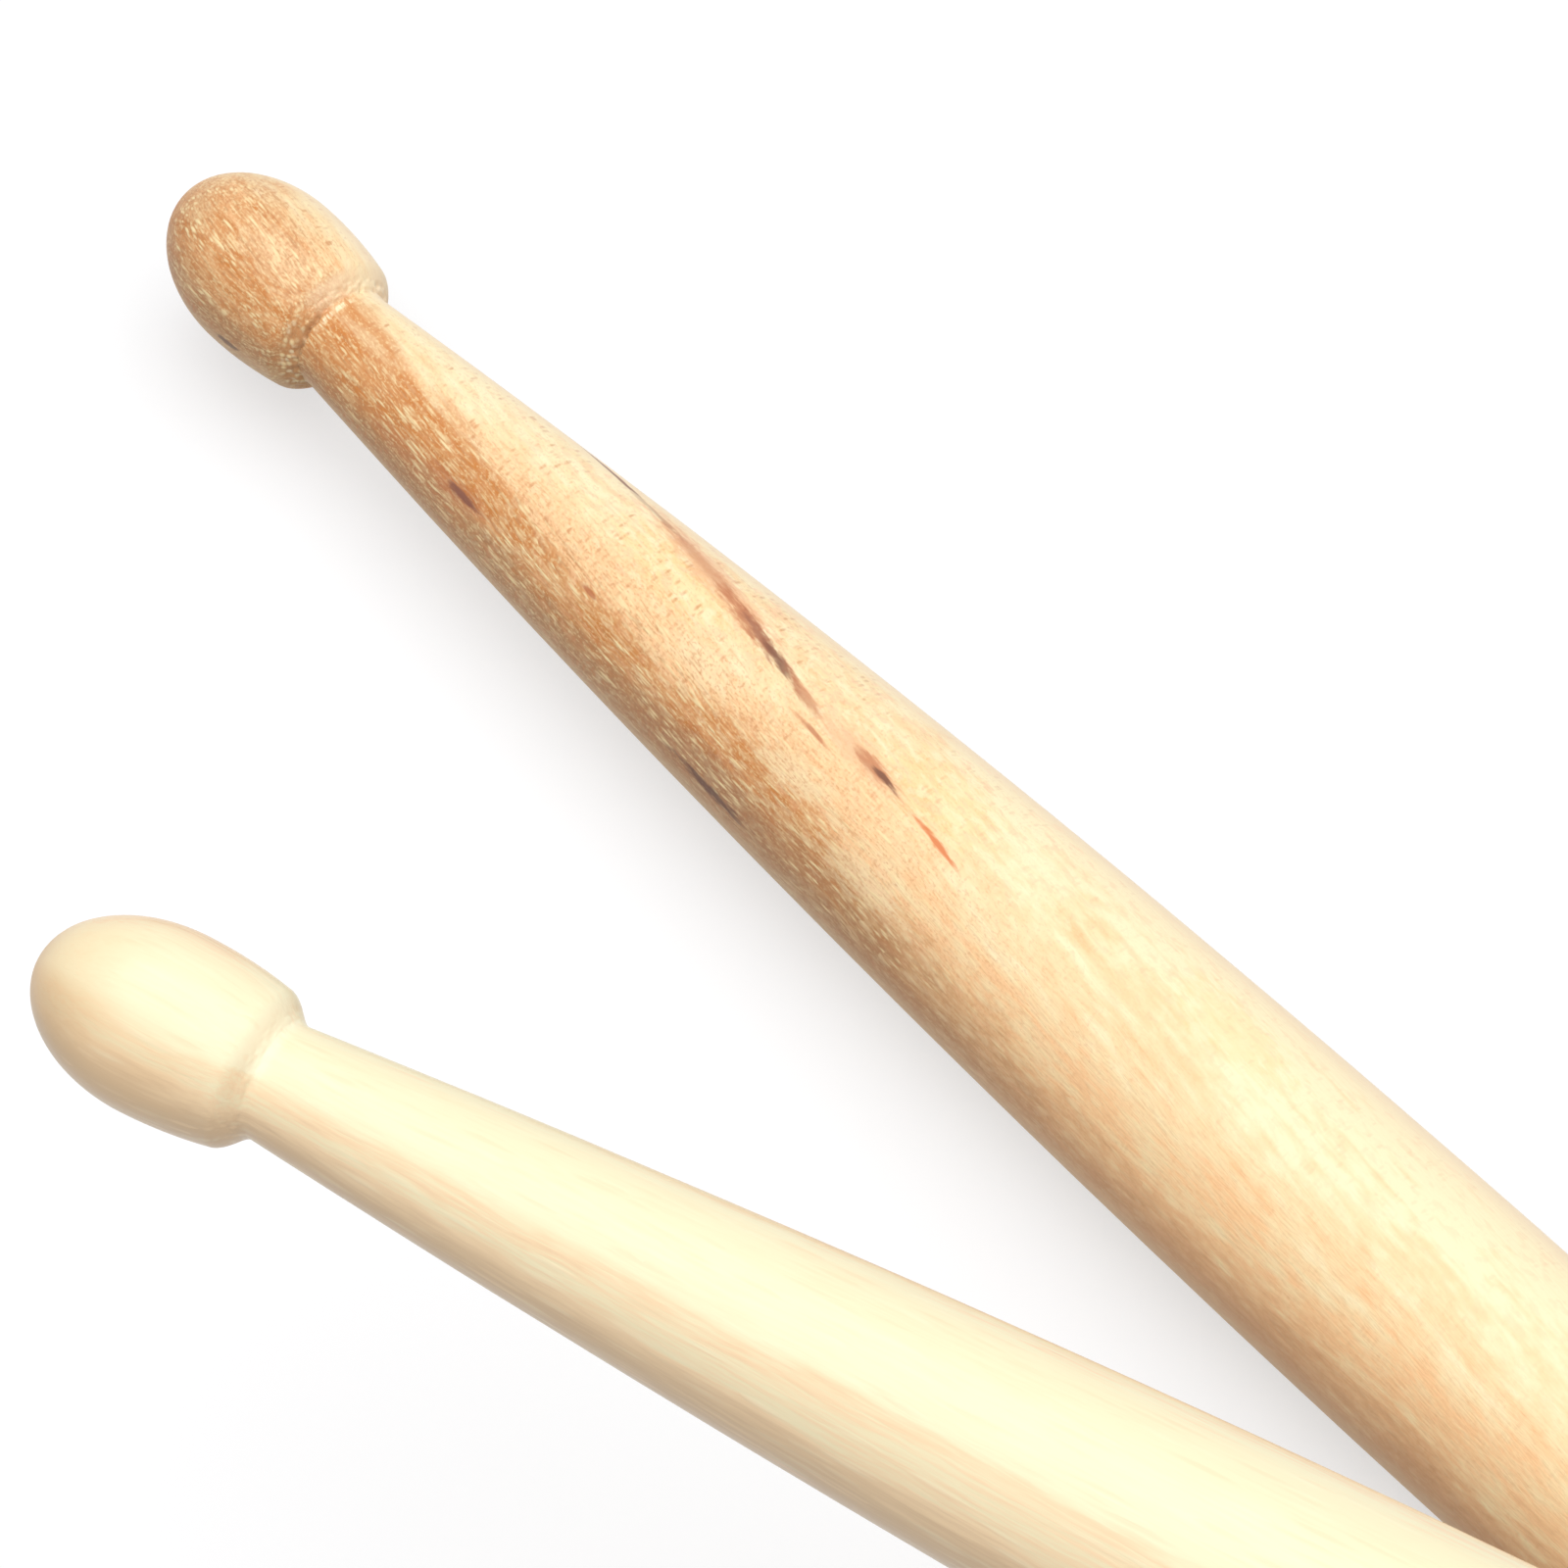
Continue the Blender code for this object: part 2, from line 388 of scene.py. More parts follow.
# Mineral marks: the long streak with its halo, the lens behind it, the orange fleck, and smaller ones
MARKS = (
    Mark(43.5, 20.0, 15.0, 2.20, -0.21, ROSE, 0.62),
    Mark(33.3, 44.8, 6.5, 0.44, -0.19, PURPLE_BROWN, 0.85),
    Mark(37.6, 34.0, 7.5, 0.46, -0.19, PURPLE_BROWN, 0.34),
    Mark(42.8, 21.6, 10.0, 0.90, -0.21, RED_BROWN, 0.42),
    Mark(47.8, 8.0, 8.0, 1.15, -0.24, RED_BROWN, 0.75),
    Mark(50.0, 3.7, 7.5, 0.85, -0.24, PURPLE_BROWN, 0.55),
    Mark(51.2, 0.9, 4.0, 0.55, -0.24, DARK_BROWN, 0.55),
    Mark(53.7, -4.2, 4.6, 0.75, -0.24, RED_BROWN, 0.70),
    Mark(55.8, -16.2, 3.0, 0.36, -0.08, RED_BROWN, 0.80),
    Mark(59.0, -9.0, 9.0, 1.60, -0.10, ROSE, 0.45),
    Mark(60.2, -9.5, 4.4, 0.85, -0.10, RED_BROWN, 0.75),
    Mark(61.1, -10.4, 2.4, 0.42, -0.12, DARK_BROWN, 0.75),
    Mark(66.2, -17.3, 4.3, 0.42, -0.15, ORANGE_RED, 0.90),
    Mark(52.2, -84.0, 7.0, 0.75, -0.01, DARK_BROWN, 0.80),
    Mark(28.3, -56.0, 6.0, 1.50, 0.0, RED_BROWN, 0.50),
    Mark(28.6, -56.2, 2.9, 0.58, 0.0, PURPLE_BROWN, 0.90),
    Mark(39.4, -42.6, 1.9, 0.30, -0.10, RED_BROWN, 0.85),
    Mark(9.2, -98.0, 2.2, 0.60, 0.0, DARK_BROWN, 0.75),
)


def number(name, description, default, **settings):
    """A number that a user may change."""
    return bpy.props.FloatProperty(name=name, description=description, default=default, **settings)


def metres(name, description, default, precision=4):
    """A length in metres that a user may change."""
    return number(name, description, default, precision=precision, unit="LENGTH")


def tint(name, description, default):
    """A colour that a user may change."""
    return bpy.props.FloatVectorProperty(
        name=name, description=description, default=default, subtype="COLOR", min=0.0, max=1.0)


class StickSizes(bpy.types.PropertyGroup):
    """Sizes of one stick, from its tip to its butt. Both sticks have the same outline."""

    length: metres("Length", "From the end of the tip to the butt", 0.406)
    tip_length: metres("Tip Length", "From the end of the tip to the start of the neck", 0.0140)
    tip_diameter: metres("Tip Diameter", "Across the widest part of the tip", 0.0097)
    tip_widest_at: metres("Tip Widest At", "From the end of the tip to its widest part", 0.0072)
    rim_drop: metres("Rim Drop", "How much the tip's radius falls from its widest part to its rim", 0.0005)
    step_length: metres(
        "Step Length", "Length of the soft step from the tip's rim down to the neck", 0.0018)
    neck_diameter: metres("Neck Diameter", "Across the neck, at the foot of the step", 0.0062)
    shoulder_length: metres("Shoulder Length", "From the neck to where the shaft is straight", 0.0923)
    shaft_diameter: metres("Shaft Diameter", "Across the straight shaft", 0.0144)
    butt_round: metres("Butt Round", "Rounding of the butt's edge", 0.0042)
    sanding_depth: metres("Sanding Depth", "Unevenness that hand sanding leaves", 0.00006, 6)
    fibre_depth: metres("Fibre Depth", "Height of the fibres that the lacquer has raised", 0.00003, 6)
    line_place: metres(
        "Line Place", "From the end of the tip to the fine line cut at the foot of the step", 0.01355, 5)
    line_depth: metres("Line Depth", "Depth of the fine line and of the torn grain along it", 0.00015, 6)


class TanWood(bpy.types.PropertyGroup):
    """Colours of the flecked tan stick."""

    cream: tint("Cream", "Palest ground of the wood, away from the heart", (0.98, 0.85, 0.56))
    # Straw also paints light along the lowest limb.
    straw: tint("Straw", "Ground of the wood on its lit side", (0.94, 0.72, 0.42))
    honey: tint("Honey", "Middle ground of the wood", (0.96, 0.60, 0.315))
    # Tan is partly painted shade, where it fills the low side.
    tan: tint("Tan", "Darker ground of the wood, low on one side", (0.68, 0.37, 0.185))
    amber: tint("Amber", "Heart wood that runs along one side from the tip", (0.62, 0.225, 0.05))
    # Brown also paints shade: low on the heart's side, on the low face, on the nose's low side and in the
    # fine line at the step.
    brown: tint("Brown", "Heart wood low on that side", (0.46, 0.225, 0.095))
    shade: tint("Shade", "Fine dark fibres along the grain", (0.52, 0.25, 0.10))
    dash: tint("Dash", "Short pale dashes along the grain", (0.96, 0.77, 0.43))
    # Peach also paints a glow on the far limb and a sheen on the rim before the step.
    peach: tint("Peach", "Wood on the side away from the heart", (1.0, 0.80, 0.55))
    rose: tint("Rose", "Rosy mottling on the lit side", (0.97, 0.60, 0.37))
    russet: tint("Russet", "Small reddish ray flecks across the grain", (0.60, 0.25, 0.095))


class PaleWood(bpy.types.PropertyGroup):
    """Colours of the straight-grained pale stick."""

    cream: tint("Cream", "Palest ground of the wood", (0.93, 0.848, 0.57))
    straw: tint("Straw", "Middle ground of the wood", (0.94, 0.81, 0.53))
    # Peach below the band's edge, where the painted sheen stops.
    peach: tint("Peach", "Late wood in the broad growth bands", (0.96, 0.72, 0.45))
    honey: tint("Honey", "Late wood on the tip", (0.90, 0.60, 0.31))
    # Tan is painted shade low on one side.
    tan: tint("Tan", "Darkest wood, low on one side", (0.82, 0.59, 0.365))
    # Shade is painted shade at the lower edges.
    shade: tint("Shade", "Deepest wood, at the lower edge of the tip and the shaft", (0.60, 0.42, 0.235))
    # Dash also paints light on the step.
    dash: tint("Dash", "Faint pale dashes along the grain", (0.99, 0.92, 0.66))


class Studio(bpy.types.PropertyGroup):
    """Floor, light and camera."""

    floor_colour: tint("Floor", "Colour of the floor as the camera sees it", (0.38, 0.381, 0.389))
    floor_bounce: tint(
        "Floor Bounce", "Colour of the light that the floor throws back on the sticks", (0.42, 0.42, 0.42))
    floor_lift: number("Floor Lift", "Brightness that the camera sees beside the floor's colour", 0.60)
    softbox_spread: number(
        "Softbox Spread", "Angle across the overhead light, seen from the sticks", math.radians(86.0),
        subtype="ANGLE")
    softbox_strength: number(
        "Softbox Strength", "Light that falls on a surface that faces the softbox", 2.68)
    fill_strength: number("Fill Strength", "Even light from the pale room", 0.34)
    camera_place: bpy.props.FloatVectorProperty(
        name="Camera Place", description="Where the camera stands",
        default=(0.03154, -0.22228, 0.39075), subtype="XYZ", unit="LENGTH")
    camera_down: number(
        "Camera Down", "How far the camera looks down from the level", math.radians(50.75), subtype="ANGLE")
    camera_heading: number(
        "Camera Heading", "Plan direction that the camera looks in, from +X", math.radians(129.885),
        subtype="ANGLE")
    camera_lens: number("Camera Lens", "Focal length on a 36 mm sensor, in millimetres", 211.95)


class Value:
    """A node's output that works in Python sums: each operator adds a Math node to the tree."""

    def __init__(self, graph, socket):
        self.graph = graph
        self.socket = socket

    def __add__(self, other):
        return self.graph.math("ADD", self, other)

    __radd__ = __add__

    def __sub__(self, other):
        return self.graph.math("SUBTRACT", self, other)

    def __rsub__(self, other):
        return self.graph.math("SUBTRACT", other, self)

    def __mul__(self, other):
        return self.graph.math("MULTIPLY", self, other)

    __rmul__ = __mul__

    def __abs__(self):
        return self.graph.math("ABSOLUTE", self)


class Graph:
    """One node tree, and the ways that nodes are added to it."""

    def __init__(self, tree):
        self.tree = tree

    def node(self, kind, settings=None, sockets=None, outputs=None):
        """Add a node: its settings first, then its sockets. Gives the named outputs, or the first one."""
        made = self.tree.nodes.new(kind)
        for name, setting in (settings or {}).items():
            if name == "stops":
                set_stops(made.color_ramp, setting)
            else:
                setattr(made, name, setting)
        for name, given in (sockets or {}).items():
            socket = shown_socket(made.inputs, name)
            if isinstance(given, Value):
                self.tree.links.new(given.socket, socket)
            else:
                socket.default_value = given
        if outputs:
            return [Value(self, shown_socket(made.outputs, name)) for name in outputs]
        shown = [socket for socket in made.outputs if socket.enabled]
        return Value(self, shown[0]) if shown else None

    def math(self, operation, *values):
        return self.node("ShaderNodeMath", {"operation": operation}, dict(enumerate(values)))

    def vector(self, operation, *values):
        return self.node("ShaderNodeVectorMath", {"operation": operation}, dict(enumerate(values)))

    def mix(self, share, first, second):
        """A colour that goes from the first to the second as the share goes from 0 to 1."""
        a, b = (end if isinstance(end, Value) else opaque(end) for end in (first, second))
        return self.node("ShaderNodeMix", {"data_type": "RGBA"}, {"Factor": share, "A": a, "B": b})

    def ramp(self, value, stops):
        """A colour from a ramp, given as places and colours."""
        return self.node("ShaderNodeValToRGB", {"stops": list(stops)}, {"Fac": value})

    def fade(self, value, fade, before, after):
        """A soft step from one number to another."""
        return self.node("ShaderNodeMapRange", {"interpolation_type": "SMOOTHSTEP"}, {
            "Value": value, "From Min": fade.start, "From Max": fade.full,
            "To Min": before, "To Max": after})

    def rise(self, value, fade):
        """0 before a fade, and its amount past it."""
        return self.fade(value, fade, 0.0, fade.amount)

    def fall(self, value, fade):
        """1 before a fade, and less by its amount past it."""
        return self.fade(value, fade, 1.0, 1.0 - fade.amount)

    def counted(self, place, pattern):
        """A place in millimetres, counted in a pattern's own blots or cells."""
        fineness = (1 / pattern.across, 1 / pattern.across, 1 / pattern.along)
        scaled = self.vector("MULTIPLY", place, fineness)
        return self.vector("ADD", scaled, (pattern.seed, pattern.seed * 2, pattern.seed * 3))

    def noise(self, place, pattern):
        """A pattern's noise, from 0 to 1, at a place in millimetres."""
        return self.node("ShaderNodeTexNoise", None, {
            "Vector": self.counted(place, pattern), "Scale": 1.0, "Detail": pattern.detail,
            "Roughness": NOISE_ROUGHNESS})

    def shift(self, place, pattern):
        """A pattern's noise about 0, times its weight."""
        return (self.noise(place, pattern) - NOISE_MIDDLE) * pattern.weight

    def blots(self, place, pattern):
        """A pattern's blots, with 0 between them."""
        return self.rise(self.noise(place, pattern), pattern.fade)

    def strokes(self, place, strokes):
        """1 in the middle of a stroke and 0 between the strokes."""
        away, own = self.node("ShaderNodeTexVoronoi", {"feature": "F1"}, {
            "Vector": self.counted(place, strokes), "Scale": 1.0, "Randomness": strokes.scatter},
            ["Distance", "Color"])
        stroke = self.fall(away, Fade(strokes.size * STROKE_CORE, strokes.size))
        return stroke * self.rise(self.split(own)[0], STROKE_CHANCE)

    def split(self, vector):
        return self.node("ShaderNodeSeparateXYZ", None, {"Vector": vector}, ("X", "Y", "Z"))

    def join(self, x, y, z):
        return self.node("ShaderNodeCombineXYZ", None, {"X": x, "Y": y, "Z": z})


class Places(NamedTuple):
    """Where a point of the wood is: along its grain, and in the stick's own millimetres and radians."""

    grain: Value
    x: Value
    distance: Value
    angle: Value
    radius: Value


def shown_socket(sockets, key):
    """A socket by its number, or the one of that name that the node's settings leave in use."""
    if isinstance(key, int):
        return sockets[key]
    return next(socket for socket in sockets if socket.name == key and socket.enabled)


def set_stops(ramp, stops):
    """Give a colour ramp its places and colours."""
    while len(ramp.elements) < len(stops):
        ramp.elements.new(1.0)
    for element, (place, colour) in zip(ramp.elements, stops):
        element.position = place
        element.color = opaque(colour)


def opaque(colour):
    """A colour with full alpha, as a colour socket takes it."""
    return (*colour, 1.0)


def shares(steps):
    """Even shares from 0 to 1."""
    return [step / steps for step in range(steps + 1)]


def s_curve(share, start, start_climb, end, end_climb):
    """A value that goes smoothly from start to end, with the given climb at each of them."""
    left = 1 - share
    leaving = left ** 2 * (start * (1 + 2 * share) + start_climb * share)
    arriving = share ** 2 * (end * (1 + 2 * left) - end_climb * left)
    return leaving + arriving


def shoulder_arc(sizes):
    """Radius of the large arc of the shoulder, which is flush with the shaft."""
    swell = (sizes.shaft_diameter - sizes.neck_diameter) / 2
    return (sizes.shoulder_length ** 2 + swell ** 2) / (2 * swell)


def tip_stations(sizes):
    """Distance and radius along the tip: an oval of two ellipse arcs, then the soft step to the neck."""
    widest = sizes.tip_diameter / 2
    rim_radius = widest - sizes.rim_drop
    rim_at = sizes.tip_length - sizes.step_length
    rim_turn = math.acos(rim_radius / widest)
    half_length = (rim_at - sizes.tip_widest_at) / math.sin(rim_turn)
    stations = []
    for share in shares(NOSE_RINGS):
        turn = share * math.pi / 2
        stations.append((sizes.tip_widest_at * (1 - math.cos(turn)), widest * math.sin(turn)))
    for share in shares(BACK_RINGS)[1:]:
        turn = share * rim_turn
        stations.append((sizes.tip_widest_at + half_length * math.sin(turn), widest * math.cos(turn)))
    rim_climb = -sizes.step_length * widest / half_length * math.tan(rim_turn)
    slope = sizes.shoulder_length / math.sqrt(shoulder_arc(sizes) ** 2 - sizes.shoulder_length ** 2)
    for share in shares(STEP_RINGS)[1:-1]:
        radius = s_curve(share, rim_radius, rim_climb, sizes.neck_diameter / 2, sizes.step_length * slope)
        stations.append((rim_at + sizes.step_length * share, radius))
    return stations


def shoulder_stations(sizes):
    """Distance and radius along the shoulder, from the neck to the shaft."""
    arc_radius = shoulder_arc(sizes)
    stations = []
    for share in shares(SHOULDER_RINGS):
        left = sizes.shoulder_length * (1 - share)
        sagitta = arc_radius - math.sqrt(arc_radius ** 2 - left ** 2)
        distance = sizes.tip_length + sizes.shoulder_length - left
        stations.append((distance, sizes.shaft_diameter / 2 - sagitta))
    return stations


def shaft_stations(sizes):
    """Distance and radius along the straight shaft, without its two ends."""
    start = sizes.tip_length + sizes.shoulder_length
    run = sizes.length - sizes.butt_round - start
    return [(start + run * share, sizes.shaft_diameter / 2) for share in shares(SHAFT_RINGS)[1:-1]]


def butt_stations(sizes):
    """Distance and radius round the edge of the butt, then in to the centre of its flat end."""
    shaft_radius = sizes.shaft_diameter / 2
    stations = []
    for share in shares(BUTT_RINGS):
        turn = share * math.pi / 2
        radius = shaft_radius - sizes.butt_round * (1 - math.cos(turn))
        stations.append((sizes.length - sizes.butt_round * (1 - math.sin(turn)), radius))
    flat_radius = stations[-1][1]
    for share in shares(BUTT_RINGS)[1:]:
        stations.append((sizes.length, flat_radius * (1 - share)))
    return stations


def stations_mesh(sizes):
    """A line of points on the stick's own axis, each with the radius that is turned there."""
    stations = tip_stations(sizes) + shoulder_stations(sizes) + shaft_stations(sizes) + butt_stations(sizes)
    mesh = bpy.data.meshes.new("stations")
    points = [(0.0, 0.0, distance) for distance, radius in stations]
    edges = [(index, index + 1) for index in range(len(points) - 1)]
    mesh.from_pydata(points, edges, [])
    radii = mesh.attributes.new(RADIUS_ATTRIBUTE, "FLOAT", "POINT")
    radii.data.foreach_set("value", [radius for distance, radius in stations])
    return mesh


def turned_stick_tree():
    """Nodes that turn a line of stations about its own axis and leave the marks of the work on it."""
    tree = bpy.data.node_groups.new("turned stick", "GeometryNodeTree")
    inputs = {"Stations": "Geometry", "Sides": "Int", "Sanding Depth": "Float", "Fibre Depth": "Float",
              "Line Place": "Float", "Line Depth": "Float", "Seed": "Float", "Material": "Material"}
    for name, kind in inputs.items():
        tree.interface.new_socket(name, in_out="INPUT", socket_type="NodeSocket" + kind)
    tree.interface.new_socket("Stick", in_out="OUTPUT", socket_type="NodeSocketGeometry")
    graph = Graph(tree)
    given = graph.node("NodeGroupInput", outputs=list(inputs))
    stations, sides, sanding_depth, fibre_depth, line_place, line_depth, seed, material = given

    axis = graph.node("GeometryNodeMeshToCurve", None, {"Mesh": stations})
    ring = graph.node("GeometryNodeCurvePrimitiveCircle", None, {"Resolution": sides, "Radius": 1.0})
    radius = graph.node(
        "GeometryNodeInputNamedAttribute", {"data_type": "FLOAT"}, {"Name": RADIUS_ATTRIBUTE})
    turned = graph.node(
        "GeometryNodeCurveToMesh", None, {"Curve": axis, "Profile Curve": ring, "Scale": radius})
    closed = graph.node(
        "GeometryNodeMergeByDistance", None, {"Geometry": turned, "Distance": MERGE_DISTANCE})

    position = graph.node("GeometryNodeInputPosition")
    place = graph.vector("MULTIPLY", position, (PER_METRE,) * 3)
    x, y, distance = graph.split(place)
    outward = graph.vector("NORMALIZE", graph.join(x, y, 0.0))
    own = graph.vector("ADD", place, graph.join(*(seed * stride for stride in SEED_STRIDES)))
    from_line = distance - line_place * PER_METRE
    line = graph.fall(abs(from_line), Fade(0.0, LINE_HALF_WIDTH))
    beside_line = graph.fall(abs(from_line + LINE_HALF_WIDTH), Fade(LINE_HALF_WIDTH, TORN_HALF_WIDTH))
    torn = graph.blots(own, TORN_GRAIN) * beside_line
    worn = graph.shift(own, SANDING) * sanding_depth + graph.shift(own, RAISED_FIBRES) * fibre_depth
    height = worn - (line * LINE_SHARE + torn) * line_depth
    offset = graph.node("ShaderNodeVectorMath", {"operation": "SCALE"}, {"Vector": outward, "Scale": height})
    worked = graph.node("GeometryNodeSetPosition", None, {"Geometry": closed, "Offset": offset})
    smoothed = graph.node("GeometryNodeSetShadeSmooth", None, {"Geometry": worked})
    real = graph.node("GeometryNodeRealizeInstances", None, {"Geometry": smoothed})
    finished = graph.node("GeometryNodeSetMaterial", None, {"Geometry": real, "Material": material})
    graph.node("NodeGroupOutput", None, {"Stick": finished})
    return tree


def set_inputs(modifier, values):
    """Set a Geometry Nodes modifier's inputs by their sockets' identifiers."""
    for item in modifier.node_group.interface.items_tree:
        if item.in_out == "INPUT" and item.name in values:
            modifier[item.identifier] = values[item.name]


def stick_place(mount_name, length):
    """A stick's own frame: origin at the end of the tip, +Z to the butt and +Y as near up as can be."""
    mount = next(mount for mount in frame["record"]["mounts"] if mount["name"] == mount_name)
    along = Vector(mount["axis"]).normalized()
    tip_end = Vector(mount["pos_m"]) - along * length
    top = (UP - along * along.dot(UP)).normalized()
    side = top.cross(along)
    turn = Matrix((side, top, along)).transposed()
    return Matrix.Translation(tip_end) @ turn.to_4x4()


def turn_stick(name, sizes, place, seed, torn, material):
    """Make one stick as a plain mesh that lies in its place."""
    blank = bpy.data.objects.new(name + "_blank", stations_mesh(sizes))
    bpy.context.scene.collection.objects.link(blank)
    turning = blank.modifiers.new("turning", "NODES")
    turning.node_group = turned_stick_tree()
    set_inputs(turning, {
        "Sides": SIDES, "Sanding Depth": sizes.sanding_depth, "Fibre Depth": sizes.fibre_depth,
        "Line Place": sizes.line_place, "Line Depth": sizes.line_depth * torn, "Seed": seed,
        "Material": material})
    depsgraph = bpy.context.evaluated_depsgraph_get()
    mesh = bpy.data.meshes.new_from_object(blank.evaluated_get(depsgraph))
    bpy.data.objects.remove(blank, do_unlink=True)
    mesh.name = name
    mesh.transform(place)
    stick = bpy.data.objects.new(name, mesh)
    bpy.context.scene.collection.objects.link(stick)
    return stick


def wood_places(graph, place, lean, waves):
    """Where each point of a stick's wood is, with a grain that leans and waves."""
    to_own = place.inverted()
    own = graph.node("ShaderNodeMapping", {"vector_type": "POINT"}, {
        "Vector": graph.node("ShaderNodeTexCoord", None, None, ["Object"])[0],
        "Scale": (PER_METRE,) * 3,
        "Rotation": to_own.to_euler(),
        "Location": to_own.translation * PER_METRE})
    x, y, distance = graph.split(own)
    wave = graph.shift(own, waves)
    grain = graph.join(x + distance * lean + wave, y + wave, distance)
    angle = graph.math("ARCTAN2", x, y)
    radius = graph.math("SQRT", x * x + y * y)
    return Places(grain, x, distance, angle, radius)


def end_grain(graph, place):
    """1 on the nose of the tip and on the butt, where the fibres are cut across."""
    normal = graph.node("ShaderNodeTexCoord", None, None, ["Normal"])[0]
    along = place.to_3x3() @ UP
    squarely = graph.node(
        "ShaderNodeVectorMath", {"operation": "DOT_PRODUCT"}, {0: normal, 1: along}, ["Value"])[0]
    return graph.rise(abs(squarely), CUT_ENDS)


def between(graph, value, start, end):
    """A stretch from one fade to another."""
    return graph.rise(value, start) * graph.fall(value, end)


def facing(graph, angle, side):
    """The amount of a side of the stick, falling to 0 away from it."""
    return graph.rise(graph.math("COSINE", angle - math.radians(side.degrees)), side)


def towards_heart(graph, angle):
    """1 in the middle of the heart's side of the tan stick, falling evenly round from it."""
    away = graph.math("ARCCOSINE", graph.math("COSINE", angle - math.radians(HEART_SIDE)))
    return 1.0 - away * (1 / math.radians(HEART_REACH))


def ground_tone(graph, grain, patterns):
    """Sum of the patterns' shifts of tone, about 0."""
    tone = 0.0
    for pattern in patterns:
        tone = graph.shift(grain, pattern) + tone
    return tone


def add_marks(graph, at, ragged, marks, colour):
    """Marks over a colour, with torn edges and thin ends."""
    for mark in marks:
        along = at.distance - mark.distance
        across = (at.angle - math.radians(mark.angle)) * at.radius - along * mark.lean
        along = along * (2 / mark.length)
        across = across * (2 / mark.width)
        reach = graph.math("SQRT", along * along + across * across)
        mask = graph.fall(reach + ragged, MARK_EDGE) * mark.strength
        colour = graph.mix(mask, colour, mark.colour)
    return colour


def lay_strokes(graph, colours, grain, strokes, share, colour, height):
    """Strokes over a colour where the share is not 0, a little raised or sunk."""
    mask = graph.strokes(grain, strokes) * share
    colour = graph.mix(mask * strokes.strength, colour, getattr(colours, strokes.colour))
    return colour, height + mask * strokes.height


def new_material(name):
    """A material with an empty node tree."""
    material = bpy.data.materials.new(name)
    material.use_nodes = True
    material.node_tree.nodes.clear()
    return material


def wood_shader(graph, colour, fibres, cut_ends, height, lacquer):
    """Satin lacquer over wood, duller on the raised fibres and the cut ends."""
    roughness = lacquer.roughness + fibres * lacquer.on_fibres + cut_ends * lacquer.on_cut_ends
    coat = lacquer.coat - cut_ends * lacquer.lost_on_cut_ends
    bump = graph.node("ShaderNodeBump", None, {
        "Strength": BUMP_STRENGTH, "Distance": BUMP_DEPTH, "Height": height})
    shader = graph.node("ShaderNodeBsdfPrincipled", None, {
        "Base Color": colour, "Roughness": roughness, "Normal": bump, "Specular IOR Level": WOOD_SHINE,
        "Coat Weight": coat, "Coat Roughness": lacquer.coat_roughness})
    graph.node("ShaderNodeOutputMaterial", None, {"Surface": shader})


def heart_share(graph, at, side, tip, low_side_and_shade):
    """How much heart wood there is: a stained band that narrows away from the tip, with a ragged edge."""
    bulge = between(graph, at.distance, BULGE_FROM, BULGE_TO)
    edge = EDGE_START * graph.math("EXPONENT", at.distance * (-1 / EDGE_RUN)) + EDGE_END
    edge = edge + tip * EDGE_AT_TIP + bulge * EDGE_AT_BULGE + graph.shift(at.grain, HEART_EDGE)
    softness = tip * TIP_SOFTNESS + EDGE_SOFTNESS
    inside = graph.rise(edge - at.x, Fade(softness * -1.0, softness))
    stains = graph.blots(at.grain, TAN_STAINS)
    even = STAINS_EVEN - graph.rise(at.distance, STAINS_BREAK_UP) + bulge * STAINS_AT_BULGE
    stains = stains + (1.0 - stains) * (low_side_and_shade * STAINS_LOW_SIDE + even)
    # Partly painted shade: the heart stays dark on the nose's low side and pales on its top.
    nose = graph.fall(at.distance, NOSE) * graph.fall(side, NOSE_TOP)
    streaks = graph.shift(at.grain, TIP_STREAKS) * tip
    depth = graph.fall(at.distance, HEART_ENDS) * (1.0 - nose * NOSE_PALER)
    return inside * stains * depth * (1.0 - tip * TIP_PALER + streaks)


def tan_ground(graph, colours, at, side, tip):
    """Cream wood that turns honey and tan towards one side, with an amber heart that leans along it; the
    darkening towards that side is partly the heart wood and partly painted shade.
    """
    uneven = ground_tone(graph, at.grain, TAN_GROUND)
    warmth = tip * TIP_WARMTH + between(graph, at.distance, WARM_FROM, WARM_TO) + WARMTH
    tone = side + uneven + warmth - graph.rise(at.distance, COOL_SHAFT)
    ground = graph.ramp(tone, zip(TAN_STOPS, (colours.cream, colours.straw, colours.honey)))
    low_side_and_shade = side + uneven * LOW_SIDE_UNEVEN - graph.rise(at.distance, LOW_SIDE_THINS)
    low_side_and_shade = graph.rise(low_side_and_shade, LOW_SIDE_AND_SHADE)
    ground = graph.mix(low_side_and_shade, ground, colours.tan)
    brown = graph.rise(side + uneven * BROWN_UNEVEN, BROWN_HEART_AND_SHADE)
    heart = graph.mix(brown, colours.amber, colours.brown)
    return graph.mix(heart_share(graph, at, side, tip, low_side_and_shade), ground, heart)


